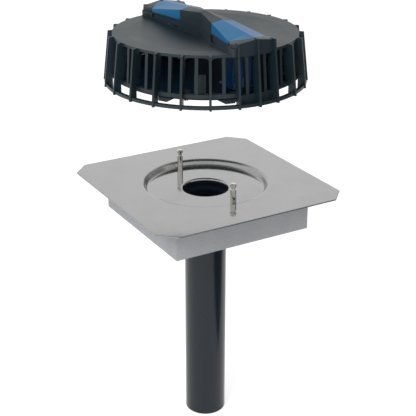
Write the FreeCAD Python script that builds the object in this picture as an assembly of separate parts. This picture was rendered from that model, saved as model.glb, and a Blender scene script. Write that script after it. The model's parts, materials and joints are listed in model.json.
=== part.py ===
import FreeCAD, Part
import math
import os
from FreeCAD import Vector

# Flat roof drain: a steel connection plate with a drawn bowl on an insulation block and
# an outlet pipe, and a leaf strainer with two release latches, shown lifted off its studs.
# Origin: centre of the outlet pipe's lower end. +Z is up, and Y runs through both studs.
# "Far" pieces lie on +Y and "near" pieces on -Y. Every size is in millimetres.

OUT_DIR = "parts"

# Outlet pipe
PIPE_R = 28.0
PIPE_WALL = 3.0
PIPE_EXPOSED = 298.0
PIPE_CHAMFER = 1.2
INLET_R = 30.0
INLET_DEPTH = 5.5
INLET_STEP = 2.0
INLET_TAPER = 8.0
HUB_WALL = 6.0
HUB_DEPTH = 8.5
HUB_DROP = 1.0
FLANGE_R = 76.0
FLANGE_T = 8.0

# Connection plate and its bowl
PLATE_SIDE = 270.0
PLATE_T = 1.5
PLATE_CORNER = 21.0
BOWL_R = 82.0
BOWL_DEPTH = 8.0
BOWL_RUN = 4.0
BOWL_BEND = 2.5
LIP_BEND = 1.0
LIP_DROP = 3.0
BEND_CHORDS = 2
BOWL_BORDER = 10.0

# Insulation block
BLOCK_SIDE = 195.0
BLOCK_HEIGHT = 50.0
BLOCK_GAP = 0.3
POCKET_MARGIN = 4.0

# Clamped joint under the bowl
GASKET_T = 2.0
GASKET_MARGIN = 2.0
RING_T = 3.0
RING_GAP = 1.0

# Studs, washers and nuts
STUD_PLACE = 70.0
STUD_R = 4.0
STUD_TOP = 22.0
STUD_HEAD = 4.0
STUD_BEVEL = 0.9
NECK_R = 2.75
NECK_LENGTH = 4.0
THREAD_R = 3.0
THREAD_SPARE = 2.8
STUD_HOLE_GAP = 0.3
WASHER_R = 6.0
WASHER_T = 1.2
NUT_ACROSS = 10.0
NUT_T = 5.0
NUT_POCKET_GAP = 2.0
NUT_FACE_SHARE = 0.95

# Strainer: heights are above its feet
STRAINER_LIFT = 140.0
STRAINER_TOP = 63.2
RIM_R = 116.5
RIM_DROP = 3.2
COVER_T = 2.5
RIM_BAND = 18.5
DISH_DEPTH = 7.7
FOOT_R = 129.7
FIN_TOP_R = 122.3
FIN_T = 2.7
FIN_END_STEP = 12.0
FIN_SPACES = 10
FIN_LIP = 0.6
HOOP_R = 128.0
HOOP_WIDTH = 4.5
HOOP_BOTTOM = 1.1
HOOP_HEIGHT = 4.0
CAGE_WALL = 3.0
CAGE_FLARE = 3.0
CAGE_DEPTH = 8.0
CAGE_INSET = 0.5
BAR_WIDTH = 4.0
GUSSET_REACH = 6.5
GUSSET_DROP = 4.5
GUSSET_SHARE = 0.3
MID_BOTTOM = 12.0
MID_HEIGHT = 5.0
MID_WIDTH = 5.0
GUARD_TOP = 14.0

# Handle: places along Y with half width, wall top and ridge above the feet
HANDLE_MID_W = 5.7
HANDLE_MID_WALL = 86.0
HANDLE_MID_RIDGE = 88.7
WAIST_Y = 39.0
WAIST_W = 15.0
WAIST_WALL = 83.0
WAIST_RIDGE = 85.2
WING_Y = 96.0
WING_W = 25.6
WING_WALL = 74.4
WING_RIDGE = 80.6
CORNER_Y = 110.0
CORNER_W = 30.7
CORNER_WALL = 74.8
CORNER_RIDGE = 79.3
END_Y = 122.0
END_W = 21.0
END_WALL = 75.4
END_RIDGE = 78.9
HANDLE_END_R = 118.5
HANDLE_T = 2.5
LEDGE_TOP = 70.3
LEDGE_OUT = 1.8
LEDGE_BAR = 1.2
SKIRT_T = 1.4
END_FIN_PROUD = 1.0

# Latches: the cap closes a window in the handle and hangs two legs with a keyhole plate
CAP_INNER_Y = 38.5
CAP_RIDGE_Y = 113.0
CAP_BULGE = 3.5
CAP_GAP = 0.4
CAP_HINGE_GAP = 0.8
CAP_CLEAR = 2.5
CAP_WALL = 2.2
SLOT_INSET = 3.5
SLOT_RISE = 1.2
LEG_INNER_Y = 79.5
LEG_SET = 0.8
LEG_X = 18.5
LEG_SHOULDER = 62.0
LEG_BOTTOM = 14.4
KEY_PLATE_T = 1.6
KEY_PLATE_IN = 8.0
KEY_WIDE_R = 4.4
KEY_NARROW = 3.1
KEY_BACK = 2.1
KEY_TRAVEL = 3.8
RIB_Y = 93.0
RIB_X = 5.75
RIB_WIDTH = 4.5
RIB_T = 2.0
RIB_BOTTOM = 5.5
LATCH_WINDOW_SIDE = 3.0
LATCH_WINDOW_IN = 80.5
LATCH_WINDOW_OUT = 100.0

# Latch hinge and spring
PIN_Y = 33.0
PIN_HEIGHT = 74.0
PIN_R = 2.0
PIN_HALF = 11.8
PIN_SEAT_GAP = 0.02
PIN_RUN_GAP = 0.05
BARREL_R = 4.2
BARREL_HALF = 8.0
LUG_T = 3.0
LUG_REACH = 12.0
EAR_INNER = 8.6
EAR_HALF = 4.5
SPRING_Y = 57.0
SPRING_R = 4.5
WIRE_R = 0.45
SPRING_TURNS = 4
COIL_STEPS = 12
WIRE_SIDES = 5
SEAT_R = 3.2
SEAT_HEIGHT = 4.0
BRIDGE_HALF = 6.0
BRIDGE_TOP = 57.5
BRIDGE_T = 3.0

# Function disc under the strainer, held by four screws
DISC_R = 113.0
DISC_TOP = 11.0
DISC_T = 2.5
DISC_HOLE_GAP = 1.5
TAB_ANGLES = (28.0, 79.0)
TAB_R = 107.0
TAB_T = 2.5
TAB_FLAT = 12.0
TAB_SLOPE = 13.0
TAB_BOTTOM = 1.2
PANEL_ANGLE = 56.0
PANEL_R = 100.0
PANEL_WIDTH = 14.0
PANEL_T = 2.5
PANEL_HEIGHT = 24.0
SCREW_ANGLE = 47.0
SCREW_PLACE = 106.0
SCREW_R = 2.0
SCREW_HEAD_R = 3.8
SCREW_HEAD_T = 2.4
SCREW_BITE = 5.0
SCREW_SLOT = 0.9
SCREW_END_GAP = 0.5
SCREW_CROSS_SHARE = 0.55
LUG_R = 5.5

# Levels and radii that follow from the sizes above
BORE_R = PIPE_R - PIPE_WALL
BLOCK_Z = PIPE_EXPOSED
PLATE_UNDER = BLOCK_Z + BLOCK_HEIGHT
PLATE_TOP = PLATE_UNDER + PLATE_T
FLOOR_TOP = PLATE_TOP - BOWL_DEPTH
FLOOR_UNDER = FLOOR_TOP - PLATE_T
FLANGE_TOP = FLOOR_UNDER - GASKET_T
FLANGE_UNDER = FLANGE_TOP - FLANGE_T
RING_UNDER = FLANGE_UNDER - RING_T
WASHER_UNDER = RING_UNDER - WASHER_T
NUT_UNDER = WASHER_UNDER - NUT_T
THREAD_END = NUT_UNDER - THREAD_SPARE
HUB_R = INLET_R + HUB_WALL
HUB_UNDER = FLANGE_UNDER - HUB_DEPTH
HUB_END = BLOCK_Z - HUB_DROP
RING_INNER_R = HUB_R + RING_GAP
STRAINER_Z = PLATE_TOP + STRAINER_LIFT
CAGE_TOP = STRAINER_TOP - RIM_DROP
MID_TOP = MID_BOTTOM + MID_HEIGHT
FIN_STEP = (180 - 2 * FIN_END_STEP) / FIN_SPACES
STUD_HOLE_R = THREAD_R + STUD_HOLE_GAP
LEG_OUTER_Y = WING_Y - LEG_SET
LATCH_WINDOW_X = LEG_X + LATCH_WINDOW_SIDE
FAR_REACH = 200.0
LOW = 5.0
LOW_END = -1.0


def face_of(edges):
    """Planar face inside a closed run of edges."""
    return Part.Face(Part.Wire(Part.__sortEdges__(edges)))


def polygon(points):
    """Planar face inside a closed polygon."""
    return Part.Face(Part.makePolygon(points + [points[0]]))


def turn(points):
    """Solid turned round the Z axis from (radius, height) corners."""
    return polygon([Vector(r, 0, z) for r, z in points]).revolve(Vector(), Vector(0, 0, 1), 360)


def softened(corners, radii):
    """Corners of a closed outline with each bend drawn as a few equal chords."""
    points = []
    count = len(corners)
    for index, corner in enumerate(corners):
        radius = radii[index]
        if not radius:
            points.append(corner)
            continue
        before = (corners[index - 1] - corner).normalize()
        after = (corners[(index + 1) % count] - corner).normalize()
        half = before.getAngle(after) / 2
        bisector = (before + after).normalize()
        side = (before - bisector * before.dot(bisector)).normalize()
        centre = corner + bisector * (radius / math.sin(half))
        sweep = math.pi - 2 * half
        for chord in range(BEND_CHORDS + 1):
            angle = sweep / 2 - sweep * chord / BEND_CHORDS
            points.append(centre + (side * math.sin(angle) - bisector * math.cos(angle)) * radius)
    return points


def sheet_outline(points, bends, thickness):
    """Corners and radii of a bent sheet from the upper side of its section.

    Only the upper side's bends are rounded, because the under side is closed in.
    """
    under = []
    last = len(points) - 1
    for index, point in enumerate(points):
        runs = []
        if index > 0:
            runs.append((point - points[index - 1]).normalize())
        if index < last:
            runs.append((points[index + 1] - point).normalize())
        normals = [Vector(-run.z, 0, run.x) for run in runs]
        normal = sum(normals[1:], normals[0]).normalize()
        stretch = thickness / normal.dot(normals[0])
        under.append(point + normal * stretch)
    radii = []
    for index, bend in enumerate(bends):
        if bend:
            before = points[index] - points[index - 1]
            after = points[index + 1] - points[index]
            upper_outside = before.cross(after).y < 0
            radii.append(bend + thickness if upper_outside else bend)
        else:
            radii.append(0)
    return points + under[::-1], radii + [0] * len(points)


def cylinder(radius, low, high, x=0.0, y=0.0):
    """Upright cylinder between two heights."""
    return Part.makeCylinder(radius, high - low, Vector(x, y, low))


def tube(outer, inner, low, high):
    """Upright ring between two heights."""
    return cylinder(outer, low, high).cut(cylinder(inner, low - 1, high + 1))


def block(x0, x1, y0, y1, z0, z1):
    """Box between two corners."""
    return Part.makeBox(x1 - x0, y1 - y0, z1 - z0, Vector(x0, y0, z0))


def turned(shape, degrees):
    """Copy of a shape turned about the Z axis."""
    copy = shape.copy()
    copy.rotate(Vector(), Vector(0, 0, 1), degrees)
    return copy


def raised(shape):
    """Copy of a strainer piece moved from its feet's level to its place."""
    copy = shape.copy()
    copy.translate(Vector(0, 0, STRAINER_Z))
    return copy


def connection_plate():
    """Square sheet with cut corners and a bowl drawn down to the outlet lip."""
    half = PLATE_SIDE / 2
    cut = half - PLATE_CORNER
    outline = [(-cut, -half), (cut, -half), (half, -cut), (half, cut),
               (cut, half), (-cut, half), (-half, cut), (-half, -cut)]
    sheet = polygon([Vector(x, y, PLATE_UNDER) for x, y in outline])
    sheet = sheet.extrude(Vector(0, 0, PLATE_T))
    border = BOWL_R + BOWL_BORDER
    sheet = sheet.cut(cylinder(border, PLATE_UNDER - 1, PLATE_TOP + 1))
    points = [Vector(border, 0, PLATE_TOP), Vector(BOWL_R, 0, PLATE_TOP),
              Vector(BOWL_R - BOWL_RUN, 0, FLOOR_TOP), Vector(INLET_R, 0, FLOOR_TOP),
              Vector(INLET_R, 0, FLOOR_TOP - LIP_DROP)]
    corners, radii = sheet_outline(points, [0, BOWL_BEND, BOWL_BEND, LIP_BEND, 0], PLATE_T)
    bowl = polygon(softened(corners, radii)).revolve(Vector(), Vector(0, 0, 1), 360)
    holes = [cylinder(STUD_HOLE_R, FLOOR_UNDER - 1, FLOOR_TOP + 1, y=place)
             for place in (-STUD_PLACE, STUD_PLACE)]
    return sheet.fuse(bowl).cut(holes).removeSplitter()


def insulation_block():
    """Square block with pockets for the bowl, the clamped joint, the nuts and the pipe."""
    half = BLOCK_SIDE / 2
    body = block(-half, half, -half, half, BLOCK_Z, PLATE_UNDER)
    pocket = cylinder(BOWL_R + POCKET_MARGIN, RING_UNDER, PLATE_UNDER + 1)
    hub = turn([(0, RING_UNDER + 1), (HUB_R + BLOCK_GAP, RING_UNDER + 1),
                (HUB_R + BLOCK_GAP, HUB_UNDER), (PIPE_R + BLOCK_GAP, HUB_END), (0, HUB_END)])
    nut_pocket_r = WASHER_R + NUT_POCKET_GAP
    nuts = [cylinder(nut_pocket_r, THREAD_END - 1, RING_UNDER + 1, y=place)
            for place in (-STUD_PLACE, STUD_PLACE)]
    return body.cut([pocket, hub] + nuts).removeSplitter()


def outlet_pipe():
    """Drain pipe with a stepped inlet and a clamping flange moulded on."""
    step_z = FLANGE_TOP - INLET_DEPTH
    body = turn([(INLET_R, FLANGE_TOP), (FLANGE_R, FLANGE_TOP), (FLANGE_R, FLANGE_UNDER),
                 (HUB_R, FLANGE_UNDER), (HUB_R, HUB_UNDER), (PIPE_R, HUB_END),
                 (PIPE_R, PIPE_CHAMFER), (PIPE_R - PIPE_CHAMFER, 0), (BORE_R, 0),
                 (BORE_R, step_z - INLET_TAPER), (INLET_R - INLET_STEP, step_z),
                 (INLET_R, step_z)])
    holes = [cylinder(STUD_HOLE_R, FLANGE_UNDER - 1, FLANGE_TOP + 1, y=place)
             for place in (-STUD_PLACE, STUD_PLACE)]
    return body.cut(holes)


def clamp_ring(inner, low, high):
    """Flat ring under the bowl with a hole for each stud."""
    ring = tube(FLANGE_R, inner, low, high)
    return ring.cut([cylinder(STUD_HOLE_R, low - 1, high + 1, y=place)
                     for place in (-STUD_PLACE, STUD_PLACE)])


def stud(place):
    """Headed stud with a neck for the latch and a threaded end below the bowl."""
    head = PLATE_TOP + STUD_TOP
    neck = head - STUD_HEAD
    shank = neck - NECK_LENGTH
    body = turn([(0, THREAD_END), (THREAD_R, THREAD_END), (THREAD_R, FLOOR_TOP),
                 (STUD_R, FLOOR_TOP), (STUD_R, shank), (NECK_R, shank),
                 (NECK_R, neck), (STUD_R, neck), (STUD_R, head - STUD_BEVEL),
                 (STUD_R - STUD_BEVEL, head), (0, head)])
    body.translate(Vector(0, place, 0))
    return body


def washer(place):
    """Plain washer under the backing ring."""
    ring = tube(WASHER_R, STUD_HOLE_R, WASHER_UNDER, RING_UNDER)
    ring.translate(Vector(0, place, 0))
    return ring


def hex_prism(across, low, high):
    """Upright six-sided bar from its size across the flats."""
    corner_r = across / math.sqrt(3)
    corners = [Vector(corner_r * math.cos(math.radians(60 * k)),
                      corner_r * math.sin(math.radians(60 * k)), low) for k in range(6)]
    return polygon(corners).extrude(Vector(0, 0, high - low))


def nut(place):
    """Hexagon nut with turned corners, bored to sit on the stud's thread."""
    body = hex_prism(NUT_ACROSS, NUT_UNDER, WASHER_UNDER)
    corner_r = NUT_ACROSS / math.sqrt(3)
    face_r = NUT_ACROSS / 2 * NUT_FACE_SHARE
    slope = corner_r - face_r
    skin = turn([(0, NUT_UNDER), (face_r, NUT_UNDER), (corner_r, NUT_UNDER + slope),
                 (corner_r, WASHER_UNDER), (0, WASHER_UNDER)])
    bore = cylinder(THREAD_R + PIN_SEAT_GAP, NUT_UNDER - 1, WASHER_UNDER + 1)
    body = body.common(skin).cut(bore)
    body.translate(Vector(0, place, 0))
    return body


def fin_angles():
    """Angles of the main fins: one at each handle end, one beside it, then even steps."""
    right = [90 - FIN_END_STEP - FIN_STEP * k for k in range(FIN_SPACES + 1)]
    left = [180 - angle for angle in right]
    return sorted(a if a <= 180 else a - 360 for a in [-90.0, 90.0] + right + left)


def cover_profile(offset):
    """Upper line of the cover, moved down by an offset, from the middle to the rim."""
    return [(0, STRAINER_TOP - DISH_DEPTH - offset), (RIM_R - RIM_BAND, STRAINER_TOP - offset),
            (RIM_R, STRAINER_TOP - offset)]


def cover_disc():
    """Shallow dished cover with a rim turned down."""
    under = cover_profile(COVER_T)
    return turn(cover_profile(0) + [(RIM_R, CAGE_TOP), (RIM_R - CAGE_WALL, CAGE_TOP),
                (RIM_R - CAGE_WALL, under[2][1]), under[1], under[0]])


def handle_places():
    """Stations of one handle half: place, half width, wall top and ridge."""
    return [(0.0, HANDLE_MID_W, HANDLE_MID_WALL, HANDLE_MID_RIDGE),
            (WAIST_Y, WAIST_W, WAIST_WALL, WAIST_RIDGE),
            (WING_Y, WING_W, WING_WALL, WING_RIDGE),
            (CORNER_Y, CORNER_W, CORNER_WALL, CORNER_RIDGE),
            (END_Y, END_W, END_WALL, END_RIDGE)]


def handle_body(side, drop, low):
    """Solid bow-tie form of the handle, its sides moved out and its roof moved down."""
    half = handle_places()
    stations = [(-y, w, wall, ridge) for y, w, wall, ridge in half[:0:-1]] + half
    sections = []
    for y, w, wall, ridge in stations:
        x = w + side
        sections.append(Part.makePolygon([
            Vector(-x, y, low), Vector(x, y, low), Vector(x, y, wall - drop),
            Vector(0, y, ridge - drop), Vector(-x, y, wall - drop), Vector(-x, y, low)]))
    return Part.makeLoft(sections, True, True)


def above_cover():
    """Space over the cover's underside that the handle may fill."""
    under = cover_profile(COVER_T)
    top = HANDLE_MID_RIDGE + 1
    return turn([under[0], under[1], (RIM_R - CAGE_WALL, under[2][1]),
                 (RIM_R - CAGE_WALL, CAGE_TOP), (HANDLE_END_R, CAGE_TOP),
                 (HANDLE_END_R, top), (0, top)])


def window_prism(gap, hinge_gap, low):
    """Upright prism over the plan of a latch cap on +Y."""
    wide = CORNER_W + LEDGE_OUT + 1
    y0 = CAP_INNER_Y + hinge_gap
    y1 = WING_Y - gap
    ridge = CAP_RIDGE_Y - gap
    side = WING_W - 1
    middle = Vector(side / 2, (y1 + ridge) / 2 + CAP_BULGE, low)
    right = Vector(side, y1, low)
    left = Vector(-side, y1, low)
    crest = Vector(0, ridge, low)
    edges = [Part.LineSegment(a, b).toShape() for a, b in
             ((Vector(-side, y1, low), Vector(-wide, y1, low)),
              (Vector(-wide, y1, low), Vector(-wide, y0, low)),
              (Vector(-wide, y0, low), Vector(wide, y0, low)),
              (Vector(wide, y0, low), Vector(wide, y1, low)),
              (Vector(wide, y1, low), Vector(side, y1, low)))]
    edges.append(Part.Arc(right, middle, crest).toShape())
    edges.append(Part.Arc(crest, Vector(-middle.x, middle.y, low), left).toShape())
    return face_of(edges).extrude(Vector(0, 0, HANDLE_MID_RIDGE + 5 - low))


def dish_height(radius):
    """Height of the cover's upper side at a radius inside the flat rim band."""
    return STRAINER_TOP - DISH_DEPTH * max(0, 1 - radius / (RIM_R - RIM_BAND))


def handle_housing():
    """Hollow handle with ledge, windows for the caps and slots above the cover."""
    upper = handle_body(0, 0, LOW)
    lower = handle_body(LEDGE_OUT, 0, LOW)
    lower = lower.cut(block(-FAR_REACH, FAR_REACH, -FAR_REACH, FAR_REACH, LEDGE_TOP, FAR_REACH))
    solid = upper.fuse(lower).common(above_cover())
    inner = handle_body(-HANDLE_T, HANDLE_T, LOW - 1)
    inner = inner.common(cylinder(HANDLE_END_R - HANDLE_T, LOW - 2, FAR_REACH))
    window = window_prism(0, 0, LEDGE_TOP)
    behind = handle_body(LEDGE_OUT - SKIRT_T, 0, LOW - 1).common(
        block(-FAR_REACH, FAR_REACH, CAP_INNER_Y - CAP_HINGE_GAP, WING_Y + CAP_CLEAR,
              LOW - 2, LEDGE_TOP + 1))
    slot_y0 = CAP_INNER_Y + SLOT_INSET
    slot_y1 = WING_Y - SLOT_INSET
    slot_top = LEDGE_TOP - LEDGE_BAR
    slot = polygon([Vector(-FAR_REACH, slot_y0, dish_height(slot_y0) + SLOT_RISE),
                    Vector(-FAR_REACH, slot_y1, dish_height(slot_y1) + SLOT_RISE),
                    Vector(-FAR_REACH, slot_y1, slot_top),
                    Vector(-FAR_REACH, slot_y0, slot_top)])
    slot = slot.extrude(Vector(2 * FAR_REACH, 0, 0))
    slot = slot.common(handle_body(LEDGE_OUT + 1, 0, LOW))
    cuts = [inner]
    for shape in (window, behind, slot):
        cuts += [shape, turned(shape, 180)]
    return solid, cuts


def hinge_parts():
    """Ears for a latch pin and the bridge with its spring seat, on +Y."""
    envelope = handle_body(LEDGE_OUT / 2, HANDLE_T / 2, LOW)
    ears = block(-FAR_REACH, FAR_REACH, PIN_Y - EAR_HALF, PIN_Y + EAR_HALF,
                 PIN_HEIGHT - EAR_HALF, PIN_HEIGHT + EAR_HALF)
    ears = ears.cut(block(-EAR_INNER, EAR_INNER, 0, FAR_REACH, 0, FAR_REACH))
    ears = ears.common(handle_body(-HANDLE_T / 2, HANDLE_T / 2, LOW))
    bridge = block(-FAR_REACH, FAR_REACH, SPRING_Y - BRIDGE_HALF, SPRING_Y + BRIDGE_HALF,
                   BRIDGE_TOP - BRIDGE_T, BRIDGE_TOP)
    bridge = bridge.common(envelope)
    seat = cylinder(SEAT_R, BRIDGE_TOP - 1, BRIDGE_TOP + SEAT_HEIGHT, y=SPRING_Y)
    hole = Part.makeCylinder(PIN_R + PIN_SEAT_GAP, 2 * PIN_HALF,
                             Vector(-PIN_HALF, PIN_Y, PIN_HEIGHT), Vector(1, 0, 0))
    return [ears, bridge, seat], hole


def fin_outer(height):
    """Radius of a main fin's outer edge at a height above the feet."""
    return FOOT_R + (FIN_TOP_R - FOOT_R) * height / STRAINER_TOP


def fin(angle, top):
    """Radial fin from its foot to the rim, or higher beside the handle."""
    inner_top = RIM_R - CAGE_WALL
    leg_r = RIM_R + CAGE_FLARE - CAGE_INSET
    inner_r = RIM_R + CAGE_FLARE - MID_WIDTH + CAGE_INSET
    points = [(leg_r, 0), (fin_outer(0), 0), (fin_outer(top - FIN_LIP), top - FIN_LIP),
              (RIM_R - 1, top), (inner_top, top), (inner_top, under_rim()),
              (RIM_R - CAGE_DEPTH, under_rim()), (inner_r, MID_TOP),
              (inner_r, MID_BOTTOM), (leg_r, MID_BOTTOM)]
    face = polygon([Vector(r, -FIN_T / 2, z) for r, z in points])
    return turned(face.extrude(Vector(0, FIN_T, 0)), angle)


def under_rim():
    """Height at which fins and bars sink into the cover's flat band."""
    return STRAINER_TOP - COVER_T / 2


def bar(angle, low, proud):
    """Thin radial bar that slants out from the cover to a height near the feet."""
    high_r = RIM_R - CAGE_INSET
    low_r = RIM_R + CAGE_FLARE + proud
    inner_r = RIM_R + CAGE_FLARE - MID_WIDTH + CAGE_INSET
    points = [(RIM_R - CAGE_DEPTH, under_rim()), (high_r, under_rim()), (high_r, CAGE_TOP),
              (low_r, MID_TOP), (low_r, low), (inner_r, low), (inner_r, MID_TOP)]
    face = polygon([Vector(r, -BAR_WIDTH / 2, z) for r, z in points])
    return turned(face.extrude(Vector(0, BAR_WIDTH, 0)), angle)


def gusset(angle):
    """Web under the rim that widens the root of a fin on both sides."""
    reach = FIN_T / 2 + GUSSET_REACH
    knee = FIN_T / 2 + GUSSET_REACH * GUSSET_SHARE
    half = [(reach, CAGE_TOP + 1), (reach, CAGE_TOP), (knee, CAGE_TOP - GUSSET_DROP * GUSSET_SHARE),
            (FIN_T / 2, CAGE_TOP - GUSSET_DROP)]
    points = half + [(-t, z) for t, z in half[::-1]]
    face = polygon([Vector(RIM_R - CAGE_WALL, t, z) for t, z in points])
    return turned(face.extrude(Vector(CAGE_WALL - CAGE_INSET, 0, 0)), angle)


def sector(start, end, low, high):
    """Upright wedge between two angles, wider than the strainer."""
    points = [Vector(0, 0, low)]
    for angle in (start, (start + end) / 2, end):
        points.append(Vector(FAR_REACH * math.cos(math.radians(angle)),
                             FAR_REACH * math.sin(math.radians(angle)), low))
    return polygon(points).extrude(Vector(0, 0, high - low))


def cage():
    """Bars, middle ring, hoop and the guards that close the cage's foot at the handle's ends."""
    ring_r = RIM_R + CAGE_FLARE
    ring = tube(ring_r, ring_r - MID_WIDTH, MID_BOTTOM, MID_TOP)
    hoop = tube(HOOP_R, HOOP_R - HOOP_WIDTH, HOOP_BOTTOM, HOOP_BOTTOM + HOOP_HEIGHT)
    guard = tube(ring_r, ring_r - CAGE_WALL, HOOP_BOTTOM, GUARD_TOP)
    ends = [sector(middle - FIN_END_STEP, middle + FIN_END_STEP, LOW_END, FAR_REACH)
            for middle in (-90, 90)]
    pieces = [ring.cut(ends), hoop]
    pieces += [guard.common(end) for end in ends]
    angles = fin_angles()
    for index, angle in enumerate(angles):
        following = angles[(index + 1) % len(angles)]
        if following < angle:
            following += 360
        middle = (angle + following) / 2
        if abs(abs(middle) - 90) < FIN_END_STEP:
            pieces.append(bar(middle, HOOP_BOTTOM, CAGE_INSET))
        else:
            pieces.append(bar(middle, MID_BOTTOM + CAGE_INSET, -CAGE_INSET))
        pieces.append(gusset(angle))
    return pieces


def screw_places():
    """Angles of the four screws of the function disc."""
    return [SCREW_ANGLE, 180 - SCREW_ANGLE, SCREW_ANGLE - 180, -SCREW_ANGLE]


def screw_lug(angle):
    """Lug inside the middle ring that takes a screw from below."""
    ring_r = RIM_R + CAGE_FLARE - MID_WIDTH / 2
    arm = block(SCREW_PLACE, ring_r, -LUG_R, LUG_R, DISC_TOP, MID_TOP)
    lug = arm.fuse(cylinder(LUG_R, DISC_TOP, MID_TOP, x=SCREW_PLACE))
    lug = lug.cut(cylinder(SCREW_R + PIN_SEAT_GAP, DISC_TOP - 1, DISC_TOP + SCREW_BITE,
                           x=SCREW_PLACE))
    return turned(lug, angle)


def strainer_grate():
    """One moulding: cover, handle, fins, bars, middle ring and hoop."""
    solid, cuts = handle_housing()
    adds, hole = hinge_parts()
    shell = cover_disc().fuse(solid).cut(cuts)
    pieces = cage()
    side_top = END_WALL + END_FIN_PROUD
    ridge_top = END_RIDGE + END_FIN_PROUD
    for angle in fin_angles():
        off_axis = abs(abs(angle) - 90)
        top = STRAINER_TOP
        if off_axis < 1:
            top = ridge_top
        elif off_axis < FIN_END_STEP + 1:
            top = side_top
        pieces.append(fin(angle, top))
    for angle in screw_places():
        pieces.append(screw_lug(angle))
    for piece in adds:
        pieces += [piece, turned(piece, 180)]
    grate = shell.fuse(pieces)
    grate = grate.cut([hole, turned(hole, 180)])
    return raised(grate.removeSplitter())


def function_disc():
    """Disc with tabs under its edge, upright panels, stud holes and windows for the latches."""
    under = DISC_TOP - DISC_T
    body = cylinder(DISC_R, under, DISC_TOP)
    pieces = []
    tab = polygon([Vector(TAB_R, t, z) for t, z in (
        (0, under + 1), (0, TAB_BOTTOM), (TAB_FLAT, TAB_BOTTOM), (TAB_FLAT + TAB_SLOPE, under),
        (TAB_FLAT + TAB_SLOPE, under + 1))])
    tab = tab.extrude(Vector(-TAB_T, 0, 0))
    back_tab = tab.mirror(Vector(), Vector(0, 1, 0))
    for shape, angle in zip((tab, back_tab), TAB_ANGLES):
        opposite = back_tab if shape is tab else tab
        pieces += [turned(shape, angle), turned(shape, angle + 180),
                   turned(opposite, -angle), turned(opposite, 180 - angle)]
    panel = block(PANEL_R - PANEL_T, PANEL_R, -PANEL_WIDTH / 2, PANEL_WIDTH / 2,
                  DISC_TOP - 1, DISC_TOP + PANEL_HEIGHT)
    for angle in (PANEL_ANGLE, 180 - PANEL_ANGLE, PANEL_ANGLE - 180, -PANEL_ANGLE):
        pieces.append(turned(panel, angle))
    body = body.fuse(pieces)
    window = block(-LATCH_WINDOW_X, LATCH_WINDOW_X, LATCH_WINDOW_IN, LATCH_WINDOW_OUT, 0, MID_TOP)
    hole_r = STUD_R + DISC_HOLE_GAP
    holes = [cylinder(hole_r, under - 1, DISC_TOP + 1, y=place)
             for place in (-STUD_PLACE, STUD_PLACE)]
    for angle in screw_places():
        holes.append(turned(cylinder(SCREW_R + STUD_HOLE_GAP, under - 1, DISC_TOP + 1,
                                     x=SCREW_PLACE), angle))
    return raised(body.cut(holes + [window, turned(window, 180)]).removeSplitter())


def disc_screw(angle):
    """Cheese head screw with a cross recess, driven up into a lug."""
    seat = DISC_TOP - DISC_T
    crown = seat - SCREW_HEAD_T
    end = DISC_TOP + SCREW_BITE - SCREW_END_GAP
    body = turn([(0, end), (SCREW_R, end), (SCREW_R, seat), (SCREW_HEAD_R, seat),
                 (SCREW_HEAD_R, crown), (0, crown)])
    reach = SCREW_HEAD_R * SCREW_CROSS_SHARE
    cross = block(-reach, reach, -SCREW_SLOT / 2, SCREW_SLOT / 2, crown - 1,
                  (seat + crown) / 2)
    body = body.cut(cross.fuse(turned(cross, 90)))
    body.translate(Vector(SCREW_PLACE, 0, 0))
    return raised(turned(body, angle))


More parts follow.
